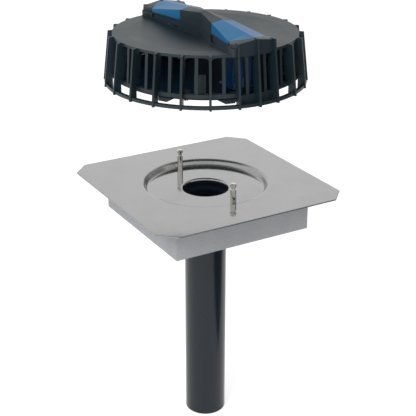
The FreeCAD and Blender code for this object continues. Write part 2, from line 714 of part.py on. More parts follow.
def latch():
    """Release latch on +Y: cap, two legs, keyhole plate, two ribs and hinge barrel."""
    shell = handle_body(0, 0, LOW).cut(handle_body(-CAP_WALL, HANDLE_T, LOW - 1))
    shell = shell.common(window_prism(CAP_GAP, CAP_HINGE_GAP, LOW))
    ledge_inner = CAP_INNER_Y + CAP_HINGE_GAP
    cheek_inner = dish_height(ledge_inner) + SLOT_RISE + 1
    key_top = LEG_BOTTOM + KEY_PLATE_T
    shoulder_top = LEG_SHOULDER + CAP_WALL
    high = HANDLE_MID_RIDGE + 5
    side_view = [(ledge_inner, high), (CAP_RIDGE_Y, high), (CAP_RIDGE_Y, WING_WALL - HANDLE_T),
                 (LEG_OUTER_Y, LEDGE_TOP), (LEG_OUTER_Y, LEG_SHOULDER), (LEG_INNER_Y, LEG_SHOULDER),
                 (ledge_inner, cheek_inner)]
    side_prism = polygon([Vector(-FAR_REACH, y, z) for y, z in side_view])
    side_prism = side_prism.extrude(Vector(2 * FAR_REACH, 0, 0))
    frame = shell.common(side_prism)
    inside = handle_body(-CAP_WALL / 2, HANDLE_T / 2, LOW)
    leg_inner = LEG_X - CAP_WALL
    shoulder = block(-FAR_REACH, FAR_REACH, LEG_INNER_Y, LEG_OUTER_Y, LEG_SHOULDER, shoulder_top)
    shoulder = shoulder.common(inside)
    shoulder = shoulder.cut(block(-leg_inner, leg_inner, 0, FAR_REACH, 0, FAR_REACH))
    legs = [block(x, x + CAP_WALL, LEG_INNER_Y, LEG_OUTER_Y, LEG_BOTTOM, shoulder_top)
            for x in (-LEG_X, leg_inner)]
    plate = block(-LEG_X, LEG_X, STUD_PLACE - KEY_PLATE_IN, LEG_OUTER_Y, LEG_BOTTOM, key_top)
    ribs = [block(x - RIB_WIDTH / 2, x + RIB_WIDTH / 2, RIB_Y - RIB_T / 2, RIB_Y + RIB_T / 2,
                  RIB_BOTTOM, high).common(inside) for x in (-RIB_X, RIB_X)]
    barrel = Part.makeCylinder(BARREL_R, 2 * BARREL_HALF,
                               Vector(-BARREL_HALF, PIN_Y, PIN_HEIGHT), Vector(1, 0, 0))
    lug_view = polygon([Vector(0, PIN_Y, PIN_HEIGHT - BARREL_R), Vector(0, PIN_Y, PIN_HEIGHT + BARREL_R),
                        Vector(0, ledge_inner, PIN_HEIGHT + BARREL_R),
                        Vector(0, ledge_inner + LUG_REACH, WAIST_RIDGE),
                        Vector(0, ledge_inner + LUG_REACH, PIN_HEIGHT),
                        Vector(0, ledge_inner, PIN_HEIGHT - BARREL_R)])
    lugs = []
    for x in (-BARREL_HALF, BARREL_HALF - LUG_T):
        lug = lug_view.extrude(Vector(LUG_T, 0, 0))
        lug.translate(Vector(x, 0, 0))
        lugs.append(lug.common(inside))
    body = frame.fuse([shoulder, plate, barrel] + legs + ribs + lugs)
    low = LEG_BOTTOM - 1
    wide = cylinder(KEY_WIDE_R, low, key_top + 1, y=STUD_PLACE)
    wide_out = cylinder(KEY_WIDE_R, low, key_top + 1, y=STUD_PLACE + KEY_TRAVEL)
    join = block(-KEY_WIDE_R, KEY_WIDE_R, STUD_PLACE, STUD_PLACE + KEY_TRAVEL, low, key_top + 1)
    narrow = cylinder(KEY_NARROW, low, key_top + 1, y=STUD_PLACE - KEY_BACK)
    throat = block(-KEY_NARROW, KEY_NARROW, STUD_PLACE - KEY_BACK, STUD_PLACE, low, key_top + 1)
    bore = Part.makeCylinder(PIN_R + PIN_RUN_GAP, 2 * BARREL_HALF + 2,
                             Vector(-BARREL_HALF - 1, PIN_Y, PIN_HEIGHT), Vector(1, 0, 0))
    body = body.cut([wide, wide_out, join, narrow, throat, bore])
    return raised(body.removeSplitter())


def latch_pin():
    """Plain hinge pin of the latch on +Y."""
    half = PIN_HALF - PIN_SEAT_GAP
    return raised(Part.makeCylinder(PIN_R, 2 * half, Vector(-half, PIN_Y, PIN_HEIGHT),
                                    Vector(1, 0, 0)))


def cap_under(x, y):
    """Height of the cap's underside between the waist and the wing."""
    share = (y - WAIST_Y) / (WING_Y - WAIST_Y)
    ridge = WAIST_RIDGE + (WING_RIDGE - WAIST_RIDGE) * share
    wall = WAIST_WALL + (WING_WALL - WAIST_WALL) * share
    width = WAIST_W + (WING_W - WAIST_W) * share
    return ridge + (wall - ridge) * x / width - HANDLE_T


def latch_spring():
    """Coil spring between the bridge and the cap on +Y."""
    low = BRIDGE_TOP + WIRE_R + PIN_SEAT_GAP
    high = cap_under(SPRING_R, SPRING_Y + SPRING_R) - WIRE_R - PIN_RUN_GAP
    coil_r = SPRING_R - WIRE_R
    ring = [2 * math.pi * k / WIRE_SIDES for k in range(WIRE_SIDES)]
    section = Part.makePolygon([Vector(coil_r + WIRE_R * math.cos(a), 0, WIRE_R * math.sin(a))
                                for a in ring + ring[:1]])
    steps = SPRING_TURNS * COIL_STEPS
    sections = []
    for step in range(steps + 1):
        turn_section = turned(section, 360 / COIL_STEPS * step)
        turn_section.translate(Vector(0, SPRING_Y, low + (high - low) * step / steps))
        sections.append(turn_section)
    return raised(Part.makeLoft(sections, True, True))


def main():
    """Write each piece of the drain to its own file."""
    os.makedirs(OUT_DIR, exist_ok=True)
    far_latch = latch()
    far_pin = latch_pin()
    far_spring = latch_spring()
    nodes = {
        "connection_plate": connection_plate(),
        "insulation_block": insulation_block(),
        "outlet_pipe": outlet_pipe(),
        "flange_gasket": clamp_ring(INLET_R + PLATE_T + LIP_BEND + GASKET_MARGIN, FLANGE_TOP,
                                    FLOOR_UNDER),
        "backing_ring": clamp_ring(RING_INNER_R, RING_UNDER, FLANGE_UNDER),
        "stud_near": stud(-STUD_PLACE),
        "stud_far": stud(STUD_PLACE),
        "washer_near": washer(-STUD_PLACE),
        "washer_far": washer(STUD_PLACE),
        "nut_near": nut(-STUD_PLACE),
        "nut_far": nut(STUD_PLACE),
        "strainer_grate": strainer_grate(),
        "function_disc": function_disc(),
        "latch_near": turned(far_latch, 180),
        "latch_far": far_latch,
        "latch_pin_near": turned(far_pin, 180),
        "latch_pin_far": far_pin,
        "latch_spring_near": turned(far_spring, 180),
        "latch_spring_far": far_spring,
    }
    for number, angle in enumerate(screw_places(), 1):
        nodes["disc_screw_%d" % number] = disc_screw(angle)
    for name, shape in nodes.items():
        shape.exportStep(os.path.join(OUT_DIR, name + ".step"))
        box = shape.BoundBox
        print(name, len(shape.Solids), shape.isValid(), round(shape.Volume),
              [round(v, 2) for v in (box.XMin, box.XMax, box.YMin, box.YMax, box.ZMin, box.ZMax)])


main()
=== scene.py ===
"""Finishes, springs, light and view of a flat roof drain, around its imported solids.

Lengths are metres in the drain's own frame: the origin is the centre of the outlet pipe's lower
end, +Z is up, and the two studs stand on the Y axis.
"""

import json
import logging
import math
from dataclasses import dataclass
from enum import Enum
from typing import Any, Optional, Union

import bpy
from mathutils import Matrix, Vector


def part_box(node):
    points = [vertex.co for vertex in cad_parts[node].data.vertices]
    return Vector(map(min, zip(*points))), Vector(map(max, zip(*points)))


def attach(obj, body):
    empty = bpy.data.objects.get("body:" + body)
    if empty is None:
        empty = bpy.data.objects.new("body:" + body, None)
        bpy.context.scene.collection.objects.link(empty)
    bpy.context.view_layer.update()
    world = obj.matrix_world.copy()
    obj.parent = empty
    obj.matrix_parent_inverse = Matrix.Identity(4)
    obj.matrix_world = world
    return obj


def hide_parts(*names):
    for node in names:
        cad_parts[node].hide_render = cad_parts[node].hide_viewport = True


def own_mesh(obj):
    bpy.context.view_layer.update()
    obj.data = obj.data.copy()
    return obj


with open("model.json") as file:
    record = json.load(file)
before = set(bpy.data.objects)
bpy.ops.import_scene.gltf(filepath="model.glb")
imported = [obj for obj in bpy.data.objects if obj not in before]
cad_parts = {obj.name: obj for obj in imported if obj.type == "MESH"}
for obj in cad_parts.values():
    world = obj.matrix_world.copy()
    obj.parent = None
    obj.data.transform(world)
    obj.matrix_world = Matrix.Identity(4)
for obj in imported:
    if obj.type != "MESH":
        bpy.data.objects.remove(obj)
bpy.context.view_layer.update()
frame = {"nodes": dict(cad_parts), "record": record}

LOG = logging.getLogger("roof_drain")
Triple = tuple[float, float, float]
Colour = Triple
WHITE: Colour = (1.0, 1.0, 1.0)

# The curve between a colour on a screen and its linear colour
SCREEN_TOP = 255
SCREEN_KNEE = 0.04045
SCREEN_SLOPE = 12.92
SCREEN_SHIFT = 0.055
SCREEN_POWER = 2.4

# Middle value of a noise
NOISE_MIDDLE = 0.5

# Samples of a rounded edge
EDGE_SAMPLES = 4

# Least upward part of a top face's normal
FACING_UP = 0.5


def tone(red: int, green: int, blue: int) -> Colour:
    """Turn a colour as a screen shows it into the linear colour that a shader takes.

    Args:
        red: Red from 0 to 255.
        green: Green from 0 to 255.
        blue: Blue from 0 to 255.

    Returns:
        The linear colour, each part from 0 to 1.
    """
    def straight(part: int) -> float:
        """Undo the screen curve of one part.

        Args:
            part: The part from 0 to 255.

        Returns:
            The linear part, from 0 to 1.
        """
        share = part / SCREEN_TOP
        if share <= SCREEN_KNEE:
            return share / SCREEN_SLOPE
        return ((share + SCREEN_SHIFT) / (1 + SCREEN_SHIFT)) ** SCREEN_POWER

    return straight(red), straight(green), straight(blue)


def shaded(colour: Colour, factor: float) -> Colour:
    """Make a colour darker or paler.

    Args:
        colour: The colour.
        factor: What each part is multiplied by.

    Returns:
        The new colour.
    """
    red, green, blue = colour
    return red * factor, green * factor, blue * factor


class Slot(Enum):
    """The material slots that the record gives to the drain's pieces."""

    STEEL_SHEET = "steel_sheet"
    STEEL_RING = "steel_ring"
    STUD_STEEL = "stud_steel"
    FOAM = "foam"
    PIPE_PLASTIC = "pipe_plastic"
    GASKET_RUBBER = "gasket_rubber"
    GRATE_PLASTIC = "grate_plastic"
    DISC_PLASTIC = "disc_plastic"
    LATCH_PLASTIC = "latch_plastic"


class Side(Enum):
    """The two ends of the handle: the near one lies on -Y and the far one on +Y."""

    NEAR = -1
    FAR = 1

    @property
    def word(self) -> str:
        """The side's word in the names of nodes, bodies and joints."""
        return self.name.lower()


class Socket:
    """A shader output that takes part in Python arithmetic."""

    def __init__(self, graph: "Graph", output: bpy.types.NodeSocket) -> None:
        """Keep the graph and the output.

        Args:
            graph: The graph that holds the output's node.
            output: The output itself.
        """
        self.graph = graph
        self.output = output

    def _with(self, operation: str, first: Any, second: Any = 0.0, clamp: bool = False) -> "Socket":
        """Add one Math node.

        Args:
            operation: The Math node's operation.
            first: Its first value or link.
            second: Its second value or link.
            clamp: Whether the result stays between 0 and 1.

        Returns:
            The Math node's result.
        """
        settings = {"operation": operation, "use_clamp": clamp}
        return self.graph.add("ShaderNodeMath", settings, {0: first, 1: second}).out(0)

    def __add__(self, other: Any) -> "Socket":
        """Sum."""
        return self._with("ADD", self, other)

    __radd__ = __add__

    def __sub__(self, other: Any) -> "Socket":
        """Difference."""
        return self._with("SUBTRACT", self, other)

    def __rsub__(self, other: Any) -> "Socket":
        """Reflected difference."""
        return self._with("SUBTRACT", other, self)

    def __mul__(self, other: Any) -> "Socket":
        """Product."""
        return self._with("MULTIPLY", self, other)

    __rmul__ = __mul__

    def __pow__(self, other: Any) -> "Socket":
        """Power."""
        return self._with("POWER", self, other)

    def __abs__(self) -> "Socket":
        """Size without sign."""
        return self._with("ABSOLUTE", self)

    def larger(self, other: Any) -> "Socket":
        """The larger of the two."""
        return self._with("MAXIMUM", self, other)

    def clamped(self) -> "Socket":
        """The same value held between 0 and 1."""
        return self._with("ADD", self, clamp=True)

    def swing(self, reach: float) -> "Socket":
        """How far a noise is from its middle, times a reach."""
        return (self - NOISE_MIDDLE) * reach

    def ramped(self, low: float, high: float) -> "Socket":
        """Rise smoothly from 0 at one value to 1 at another.

        Args:
            low: The value that gives 0.
            high: The value that gives 1.

        Returns:
            The risen value, held between 0 and 1.
        """
        settings = {"interpolation_type": "SMOOTHSTEP"}
        values = {"Value": self, "From Min": low, "From Max": high}
        return self.graph.add("ShaderNodeMapRange", settings, values).out(0)


class Step:
    """A node just added to a graph."""

    def __init__(self, graph: "Graph", node: bpy.types.Node) -> None:
        """Keep the graph and the node.

        Args:
            graph: The graph that holds the node.
            node: The node itself.
        """
        self.graph = graph
        self.node = node

    def out(self, key: Union[int, str]) -> Socket:
        """The node's output by place or name."""
        return Socket(self.graph, self.node.outputs[key])


class Graph:
    """The nodes of one material or of the world."""

    def __init__(self, tree: bpy.types.NodeTree) -> None:
        """Start from an empty tree.

        Args:
            tree: The node tree to fill.
        """
        self.tree = tree
        self.tree.nodes.clear()

    def add(self, kind: str, settings: Optional[dict[str, Any]] = None,
            values: Optional[dict[Union[int, str], Any]] = None) -> Step:
        """Add any node.

        Args:
            kind: The node's type.
            settings: Its own settings, which are set first.
            values: Values or links for its inputs, by place or name.

        Returns:
            The new node.
        """
        node = self.tree.nodes.new(kind)
        for name, setting in (settings or {}).items():
            setattr(node, name, setting)
        for key, value in (values or {}).items():
            self._feed(node.inputs[key], value)
        return Step(self, node)

    def _feed(self, socket: bpy.types.NodeSocket, value: Any) -> None:
        """Link or set one input.

        Args:
            socket: The input.
            value: An output to link, a number, a vector or a colour.
        """
        if isinstance(value, Socket):
            self.tree.links.new(value.output, socket)
        elif socket.type == "RGBA" and len(value) == 3:
            socket.default_value = (*value, 1.0)
        else:
            socket.default_value = value

    def place(self) -> Socket:
        """Object coordinates, which are the drain's own frame."""
        return self.add("ShaderNodeTexCoord").out("Object")

    def parts(self, vector: Socket) -> tuple[Socket, Socket, Socket]:
        """Split a vector.

        Args:
            vector: The vector.

        Returns:
            Its X, Y and Z parts.
        """
        split = self.add("ShaderNodeSeparateXYZ", values={0: vector})
        return split.out(0), split.out(1), split.out(2)

    def stretched(self, vector: Socket, scale: Triple) -> Socket:
        """Object coordinates scaled by axis, for streaks.

        Args:
            vector: The coordinates.
            scale: The factor along each axis.

        Returns:
            The scaled coordinates.
        """
        return self.add("ShaderNodeMapping", values={"Vector": vector, "Scale": scale}).out(0)

    def blend(self, share: Any, first: Any, second: Any) -> Socket:
        """Mix two colours.

        Args:
            share: 0 gives the first colour and 1 the second.
            first: The first colour.
            second: The second colour.

        Returns:
            The mixed colour.
        """
        mix = self.add("ShaderNodeMix", {"data_type": "RGBA"}, {0: share, 6: first, 7: second})
        return mix.out(2)

    def relief(self, height: Socket, depth: float, edge: float) -> Socket:
        """Normal of a surface with rounded edges and a fine relief.

        Args:
            height: The relief's height from 0 to 1.
            depth: Depth of the relief.
            edge: Radius of the rounded edges.

        Returns:
            The normal.
        """
        edges = self.add("ShaderNodeBevel", {"samples": EDGE_SAMPLES}, {"Radius": edge}).out(0)
        values = {"Height": height, "Distance": depth, "Strength": 1.0, "Normal": edges}
        return self.add("ShaderNodeBump", values=values).out(0)

    def surface(self, values: dict[Union[int, str], Any]) -> None:
        """Finish the material with one Principled shader.

        Args:
            values: The shader's inputs.
        """
        shader = self.add("ShaderNodeBsdfPrincipled", values=values).out(0)
        self.add("ShaderNodeOutputMaterial", values={"Surface": shader})


def new_material(name: str) -> tuple[bpy.types.Material, Graph]:
    """Start a material.

    Args:
        name: The finish's name.

    Returns:
        The material and its empty graph.
    """
    material = bpy.data.materials.new(name)
    material.use_nodes = True
    return material, Graph(material.node_tree)


@dataclass(frozen=True)
class Noise:
    """Cloudy noise, and the two values between which it is spread out."""

    scale: float
    detail: float = 2.0
    roughness: float = 0.5
    low: float = 0.3
    high: float = 0.7

    @property
    def values(self) -> dict[str, float]:
        """The noise's values for its node."""
        return {"Scale": self.scale, "Detail": self.detail, "Roughness": self.roughness}

    def read(self, graph: Graph, vector: Socket) -> Socket:
        """The noise at each place."""
        return graph.add("ShaderNodeTexNoise", values={"Vector": vector, **self.values}).out(0)

    def along(self, graph: Graph, distance: Socket) -> Socket:
        """The noise along one measure, such as a height or a radius."""
        return graph.add("ShaderNodeTexNoise", {"noise_dimensions": "1D"},
                         {"W": distance, **self.values}).out(0)

    def spread(self, noise: Socket) -> Socket:
        """The noise that was read, risen from 0 to 1 between the two values."""
        return noise.ramped(self.low, self.high)


@dataclass(frozen=True)
class ShadeBand:
    """Levels of a moulding that lie in the dark of the strainer, and the darker colour painted
    there as shade.
    """

    low: float
    high: float
    colour: Colour
    edge: float = 0.0004

    def laid_over(self, graph: Graph, height: Socket, colour: Socket) -> Socket:
        """Give the colour with the band's painted shade between its two levels.

        Args:
            graph: The material's graph.
            height: Height in the drain's frame.
            colour: The colour above and below the band.

        Returns:
            The colour with the band in it.
        """
        share = height.ramped(self.low - self.edge, self.low)
        share = share * (1.0 - height.ramped(self.high, self.high + self.edge))
        return graph.blend(share, colour, self.colour)


@dataclass(frozen=True)
class MouldedPlastic:
    """Injection-moulded plastic with a fine eroded grain."""

    name: str
    colour: Colour
    light_colour: Colour
    roughness: float
    refraction: float
    # Bands of painted shade, each between two heights
    shade_bands: tuple[ShadeBand, ...] = ()
    grain: Noise = Noise(2600.0, detail=1.0)
    grain_depth: float = 0.000006
    grain_gloss: float = 0.08
    clouds: Noise = Noise(28.0, detail=4.0)
    cloud_gloss: float = 0.12
    edge: float = 0.0004

    def material(self) -> bpy.types.Material:
        """Make the finish: grain in the relief, faint clouds in colour and gloss, and bands of
        painted shade.

        Returns:
            The material.
        """
        material, graph = new_material(self.name)
        place = graph.place()
        clouds = self.clouds.read(graph, place)
        grain = self.grain.read(graph, place)
        colour = graph.blend(self.clouds.spread(clouds), self.colour, self.light_colour)
        _, _, height = graph.parts(place)
        # Painted shade: each band darkens the colour between two heights where the moulding lies in
        # the dark of the strainer
        for shade_band in self.shade_bands:
            colour = shade_band.laid_over(graph, height, colour)
        gloss = self.roughness + clouds.swing(self.cloud_gloss) + grain.swing(self.grain_gloss)
        graph.surface({"Base Color": colour, "Roughness": gloss, "IOR": self.refraction,
                       "Normal": graph.relief(grain, self.grain_depth, self.edge)})
        return material


@dataclass(frozen=True)
class DrawnPipe:
    """Smooth pipe plastic with faint lines from the die, and painted shade in the bore of the
    inlet, with paler rings.
    """

    name: str
    colour: Colour
    light_colour: Colour
    inlet_height: float
    inlet_edge: float = 0.001
    # Painted shade of the bore above the inlet height
    inlet_shade_colour: Colour = tone(2, 8, 14)
    ring_colour: Colour = tone(9, 25, 37)
    rings: Noise = Noise(220.0, detail=1.0, low=0.4, high=0.6)
    roughness: float = 0.22
    refraction: float = 1.405
    lines: Noise = Noise(900.0)
    line_stretch: Triple = (1.0, 1.0, 0.01)
    line_depth: float = 0.00002
    line_gloss: float = 0.05
    scuffs: Noise = Noise(60.0, detail=6.0, roughness=0.7, low=0.58, high=0.75)
    scuff_gloss: float = 0.1
    edge: float = 0.0005

    def material(self) -> bpy.types.Material:
        """Make the finish: lines along the pipe, a few scuffs, and painted shade with paler rings
        in the inlet.

        Returns:
            The material.
        """
        material, graph = new_material(self.name)
        place = graph.place()
        lines = self.lines.read(graph, graph.stretched(place, self.line_stretch))
        scuffs = self.scuffs.spread(self.scuffs.read(graph, place))
        _, _, height = graph.parts(place)
        # Painted shade: above the inlet height the bore takes a near-black colour with paler rings
        # along the height, and full roughness
        inlet_shade = height.ramped(self.inlet_height, self.inlet_height + self.inlet_edge)
        rings = self.rings.spread(self.rings.along(graph, height))
        shaded_bore = graph.blend(rings, self.inlet_shade_colour, self.ring_colour)
        colour = graph.blend(lines, self.colour, self.light_colour)
        colour = graph.blend(inlet_shade, colour, shaded_bore)
        gloss = self.roughness + scuffs * self.scuff_gloss + lines.swing(self.line_gloss)
        gloss = gloss + inlet_shade * (1.0 - self.roughness)
        graph.surface({"Base Color": colour, "Roughness": gloss.clamped(), "IOR": self.refraction,
                       "Normal": graph.relief(lines, self.line_depth, self.edge)})
        return material


@dataclass(frozen=True)
class BrightSheet:
    """Bright rolled steel sheet with a drawn bowl, and cut edges painted darker: partly the duller
    cut steel, partly painted shade.

    The starts and ends are measured inward from the sheet's outline, up from the bowl's floor
    and down from the sheet's top.
    """

    name: str
    colour: Colour
    # Partly the duller cut steel, partly painted shade of the dark line along the cut edges
    cut_edge_shade_colour: Colour
    half_side: float
    bowl_radius: float
    top: float
    bowl_depth: float = 0.008
    bowl_blend: float = 0.002
    roughness: float = 0.1
    stains: Noise = Noise(22.0, detail=5.0, roughness=0.6, low=0.35, high=0.75)
    stain_shade: float = 0.94
    stain_gloss: float = 0.05
    rolled: Noise = Noise(1400.0, detail=3.0)
    rolled_stretch: Triple = (0.02, 1.0, 1.0)
    turned: Noise = Noise(2600.0)
    line_gloss: float = 0.05
    line_depth: float = 0.000002
    rounding: float = 0.0016
    edge_roughness: float = 0.2
    edge_start: float = 0.0003
    edge_end: float = 0.0001
    corner_start: float = 0.0214
    corner_end: float = 0.0212
    wall_roughness: float = 0.24
    wall_metal: float = 0.72
    wall_shade: float = 0.88
    wall_lines: Noise = Noise(1500.0)
    wall_line_shade: float = 1.25
    wall_foot_start: float = 0.00003
    wall_foot_end: float = 0.0003
    wall_head_start: float = 0.0002
    wall_head_end: float = 0.00001

    def material(self) -> bpy.types.Material:
        """Make the finish: rolling lines on the sheet, turned lines in the bowl.

        Returns:
            The material.
        """
        material, graph = new_material(self.name)
        place = graph.place()
        across, along, height = graph.parts(place)
        radius = (across * across + along * along) ** 0.5
        in_bowl = 1.0 - radius.ramped(self.bowl_radius - self.bowl_blend,
                                      self.bowl_radius + self.bowl_blend)
        rim = self._rim(across, along)
        wall = self._wall(height) * (1.0 - rim) * in_bowl
        rolled = self.rolled.read(graph, graph.stretched(place, self.rolled_stretch))
        lines = rolled * (1.0 - in_bowl) + self.turned.along(graph, radius) * in_bowl
        stains = self.stains.read(graph, place)
        colour = graph.blend(self.stains.spread(stains), self.colour,
                             shaded(self.colour, self.stain_shade))
        wall_colour = shaded(self.colour, self.wall_shade)
        wall_lines = self.wall_lines.spread(self.wall_lines.along(graph, height))
        drawn = graph.blend(wall_lines, wall_colour, shaded(wall_colour, self.wall_line_shade))
        # The cut edges are darker: partly the duller cut steel, partly painted shade along the edge
        # line
        colour = graph.blend(rim, graph.blend(wall, colour, drawn), self.cut_edge_shade_colour)
        gloss = self.roughness + stains.swing(self.stain_gloss) + lines.swing(self.line_gloss)
        gloss = gloss + rim * (self.edge_roughness - self.roughness)
        gloss = gloss + wall * (self.wall_roughness - self.roughness)
        metal = 1.0 - wall * (1.0 - self.wall_metal)
        graph.surface({"Base Color": colour, "Metallic": metal, "Roughness": gloss.clamped(),
                       "Normal": graph.relief(lines, self.line_depth, self.rounding)})
        return material

    def _rim(self, across: Socket, along: Socket) -> Socket:
        """Find the sheet's cut edges and cut corners.

        Args:
            across: Place on the X axis.
            along: Place on the Y axis.

        Returns:
            One on the edges, otherwise zero.
        """
        across = abs(across)
        along = abs(along)
        edges = across.larger(along).ramped(self.half_side - self.edge_start,
                                            self.half_side - self.edge_end)
        corners = (across + along).ramped(2 * self.half_side - self.corner_start,
                                          2 * self.half_side - self.corner_end)
        return edges.larger(corners)

    def _wall(self, height: Socket) -> Socket:
        """Find the heights between the bowl's floor and the sheet's top.

        Args:
            height: Height in the drain's frame.

        Returns:
            One between the two, otherwise zero.
        """
        floor = self.top - self.bowl_depth
        foot = height.ramped(floor + self.wall_foot_start, floor + self.wall_foot_end)
        head = height.ramped(self.top - self.wall_head_start, self.top - self.wall_head_end)
        return foot * (1.0 - head)


@dataclass(frozen=True)
class TurnedSteel:
    """Bright turned or rolled steel."""

    name: str
    colour: Colour
    roughness: float
    rings: Noise = Noise(3000.0)
    ring_stretch: Triple = (0.02, 0.02, 1.0)
    ring_depth: float = 0.000003
    ring_gloss: float = 0.06
    stains: Noise = Noise(160.0, detail=4.0, high=0.8)
    stain_shade: float = 0.86
    stain_gloss: float = 0.06
    edge: float = 0.0003

    def material(self) -> bpy.types.Material:
        """Make the finish: fine rings round the vertical axis and soft stains.

        Returns:
            The material.
        """
        material, graph = new_material(self.name)
        place = graph.place()
        rings = self.rings.read(graph, graph.stretched(place, self.ring_stretch))
        stains = self.stains.read(graph, place)
        colour = graph.blend(self.stains.spread(stains), self.colour,
                             shaded(self.colour, self.stain_shade))
        gloss = self.roughness + rings.swing(self.ring_gloss) + stains.swing(self.stain_gloss)
        graph.surface({"Base Color": colour, "Metallic": 1.0, "Roughness": gloss.clamped(),
                       "Normal": graph.relief(rings, self.ring_depth, self.edge)})
        return material


@dataclass(frozen=True)
class CutFoam:
    """Rigid grey foam, cut from a block, with a fine cell speckle."""

    name: str
    colour: Colour
    dark_colour: Colour
    roughness: float = 0.85
    specks: Noise = Noise(420.0, detail=5.0, roughness=0.75, low=0.36, high=0.66)
    speck_share: float = 0.75
    speck_gloss: float = 0.1
    clouds: Noise = Noise(35.0, detail=3.0)
    cell_scale: float = 900.0
    cell_share: float = 0.6
    cell_depth: float = 0.00012
    dark_spot: Triple = (-0.0893, -0.0975, 0.339)
    spot_radius: float = 0.0012
    spot_core: float = 0.6
    spot_share: float = 0.75
    spot_colour: Colour = tone(60, 62, 66)
    edge: float = 0.0006

    def material(self) -> bpy.types.Material:
        """Make the finish: cells in the relief, specks in the colour and one small dark spot.

        Returns:
            The material.
        """
        material, graph = new_material(self.name)
        place = graph.place()
        cells = graph.add("ShaderNodeTexVoronoi", {"feature": "F1"},
                          {"Vector": place, "Scale": self.cell_scale}).out("Distance")
        specks = self.specks.read(graph, place)
        clouds = self.clouds.spread(self.clouds.read(graph, place))
        share = self.specks.spread(specks) * self.speck_share + clouds * (1 - self.speck_share)
        away = graph.add("ShaderNodeVectorMath", {"operation": "DISTANCE"},
                         {0: place, 1: self.dark_spot}).out("Value")
        dark_spot = 1.0 - away.ramped(self.spot_radius * self.spot_core, self.spot_radius)
        colour = graph.blend(share, self.dark_colour, self.colour)
        colour = graph.blend(dark_spot * self.spot_share, colour, self.spot_colour)
        height = cells * self.cell_share + specks * (1 - self.cell_share)
        graph.surface({"Base Color": colour,
                       "Roughness": self.roughness + specks.swing(self.speck_gloss),
                       "Normal": graph.relief(height, self.cell_depth, self.edge)})
        return material


@dataclass(frozen=True)
class SoftRubber:
    """Matt black rubber with a dusty bloom."""

    name: str
    colour: Colour
    roughness: float = 0.62
    bloom: Noise = Noise(90.0, detail=5.0, low=0.4, high=0.8)
    bloom_shade: float = 2.2
    bloom_gloss: float = 0.2
    bloom_depth: float = 0.00003
    edge: float = 0.0004

    def material(self) -> bpy.types.Material:
        """Make the finish: an even black with a pale bloom in clouds.

        Returns:
            The material.
        """
        material, graph = new_material(self.name)
        bloom = self.bloom.read(graph, graph.place())
        colour = graph.blend(self.bloom.spread(bloom), self.colour,
                             shaded(self.colour, self.bloom_shade))
        graph.surface({"Base Color": colour,
                       "Roughness": self.roughness + bloom.swing(self.bloom_gloss),
                       "Normal": graph.relief(bloom, self.bloom_depth, self.edge)})
        return material


def deselect_all() -> None:
    """Leave nothing selected, so that an operator acts on the new piece alone."""
    if bpy.context.object and bpy.context.object.mode != "OBJECT":
        bpy.ops.object.mode_set(mode="OBJECT")
    bpy.ops.object.select_all(action="DESELECT")


def rest_in_place(piece: bpy.types.Object) -> None:
    """Put a piece's place into its mesh and leave its object at the origin.

    Args:
        piece: The piece.
    """
    deselect_all()
    piece.select_set(True)
    bpy.context.view_layer.objects.active = piece
    bpy.ops.object.transform_apply(location=True, rotation=True, scale=True)


def block(name: str, place: Vector, size: Vector) -> bpy.types.Object:
    """Add a plain block, which the caller goes on to shape.

    Args:
        name: The piece's name.
        place: The block's middle.
        size: Its size along each axis.

    Returns:
        The block, with its place in its mesh.
    """
    deselect_all()
    bpy.ops.mesh.primitive_cube_add(size=1.0, location=place, scale=size)
    piece = bpy.context.object
    piece.name = name
    rest_in_place(piece)
    return piece


def edit_top(piece: bpy.types.Object) -> None:
    """Enter edit mode with only the piece's top faces selected.

    Args:
        piece: The piece, which is the active object.
    """
    bpy.ops.object.mode_set(mode="EDIT")
    bpy.ops.mesh.select_all(action="DESELECT")
    bpy.ops.object.mode_set(mode="OBJECT")
    for face in piece.data.polygons:
        face.select = face.normal.z > FACING_UP
    bpy.ops.object.mode_set(mode="EDIT")


def dress(piece: bpy.types.Object, material: bpy.types.Material) -> None:
    """Give a piece one finish.

    Args:
        piece: The piece.
        material: Its finish.
    """
    piece.data.materials.clear()
    piece.data.materials.append(material)
    for face in piece.data.polygons:
        face.material_index = 0


@dataclass
class DrainBody:
    """Plate, foam block, pipe and the clamped joint that holds them together."""

    half_side: float = 0.135
    bowl_radius: float = 0.082
    plate_top: float = 0.3495

    def finishes(self) -> dict[Slot, bpy.types.Material]:
        """Make the finishes of this assembly.

        Returns:
            The finish of each slot.
        """
        sheet = BrightSheet("bright_sheet", tone(168, 169, 168), cut_edge_shade_colour=tone(150, 151, 152),
                            half_side=self.half_side, bowl_radius=self.bowl_radius,
                            top=self.plate_top)
        ring = TurnedSteel("ring_steel", tone(160, 160, 160), roughness=0.3)
        stud = TurnedSteel("stud_steel", tone(216, 214, 211), roughness=0.1)
        foam = CutFoam("cut_foam", tone(191, 193, 196), dark_colour=tone(172, 175, 179))
        pipe = DrawnPipe("pipe_plastic", tone(18, 28, 37), light_colour=tone(22, 31, 40),
                         inlet_height=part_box("insulation_block")[0].z)
        gasket = SoftRubber("gasket_rubber", tone(26, 26, 27))
        return {
            Slot.STEEL_SHEET: sheet.material(),
            Slot.STEEL_RING: ring.material(),
            Slot.STUD_STEEL: stud.material(),
            Slot.FOAM: foam.material(),
            Slot.PIPE_PLASTIC: pipe.material(),
            Slot.GASKET_RUBBER: gasket.material(),
        }


